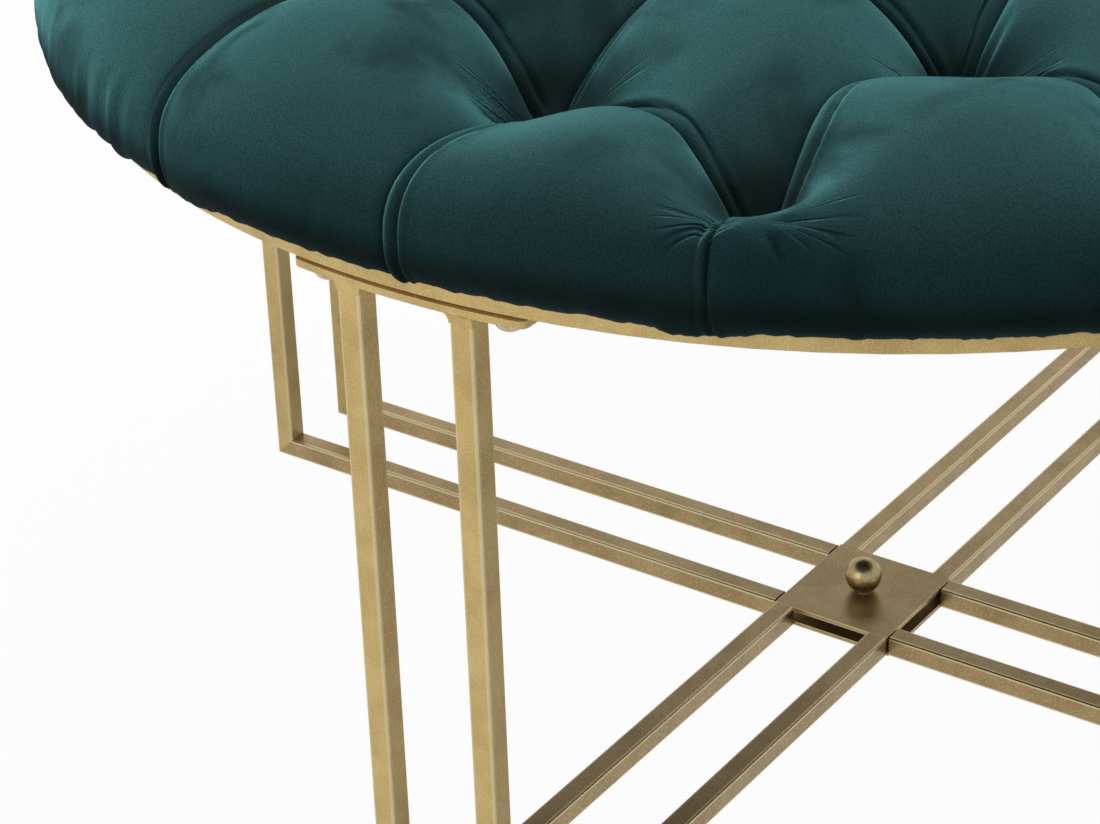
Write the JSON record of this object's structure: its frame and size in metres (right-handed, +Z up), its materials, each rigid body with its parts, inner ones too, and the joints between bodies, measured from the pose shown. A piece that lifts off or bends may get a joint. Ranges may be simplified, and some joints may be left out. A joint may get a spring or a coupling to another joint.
{
  "type": "stool",
  "caption": "Low round stool with a deep-buttoned velvet top in a slim gold hoop, on a crossed frame of paired square tubes held by a ball-headed screw.",
  "frame": {"origin": "on the floor under the middle of the crossed bars and of the round seat", "axes": "+Z up; +X along the pair of floor bars whose plate is on top at the crossing, towards the east leg; +Y along the other pair, towards the north leg"},
  "size_m": [0.8278, 0.8274, 0.4617],
  "materials": {
    "gold_paint": "semi-gloss champagne gold paint with fine metal flake",
    "antique_brass": "polished, aged",
    "bolt_steel": "zinc plated",
    "plywood": "raw",
    "dust_cloth": "matte non-woven",
    "velvet": "short-pile velvet, dark teal"
  },
  "bodies": {
    "root": {"east_post_1": "gold_paint", "east_floor_bar_1": "gold_paint", "east_bolt_1": "bolt_steel", "east_post_2": "gold_paint", "east_floor_bar_2": "gold_paint", "east_bolt_2": "bolt_steel", "east_leg_plate": "gold_paint", "north_post_1": "gold_paint", "north_floor_bar_1": "gold_paint", "north_bolt_1": "bolt_steel", "north_post_2": "gold_paint", "north_floor_bar_2": "gold_paint", "north_bolt_2": "bolt_steel", "north_leg_plate": "gold_paint", "west_post_1": "gold_paint", "west_floor_bar_1": "gold_paint", "west_bolt_1": "bolt_steel", "west_post_2": "gold_paint", "west_floor_bar_2": "gold_paint", "west_bolt_2": "bolt_steel", "west_leg_plate": "gold_paint", "south_post_1": "gold_paint", "south_floor_bar_1": "gold_paint", "south_bolt_1": "bolt_steel", "south_post_2": "gold_paint", "south_floor_bar_2": "gold_paint", "south_bolt_2": "bolt_steel", "south_leg_plate": "gold_paint", "upper_cross_plate": "gold_paint", "lower_cross_plate": "gold_paint", "ball_screw": "antique_brass", "cross_nut": "bolt_steel", "seat_band": "gold_paint", "seat_board": "plywood", "dust_cover": "dust_cloth", "seat_cushion": "velvet", "tuft_button_01": "velvet", "tuft_button_02": "velvet", "tuft_button_03": "velvet", "tuft_button_04": "velvet", "tuft_button_05": "velvet", "tuft_button_06": "velvet", "tuft_button_07": "velvet", "tuft_button_08": "velvet", "tuft_button_09": "velvet", "tuft_button_10": "velvet", "tuft_button_11": "velvet", "tuft_button_12": "velvet", "tuft_button_13": "velvet", "tuft_button_14": "velvet", "tuft_button_15": "velvet", "tuft_button_16": "velvet", "tuft_button_17": "velvet", "tuft_button_18": "velvet", "tuft_button_19": "velvet", "tuft_button_20": "velvet", "tuft_button_21": "velvet", "tuft_button_22": "velvet", "tuft_button_23": "velvet"}
  },
  "joints": []
}
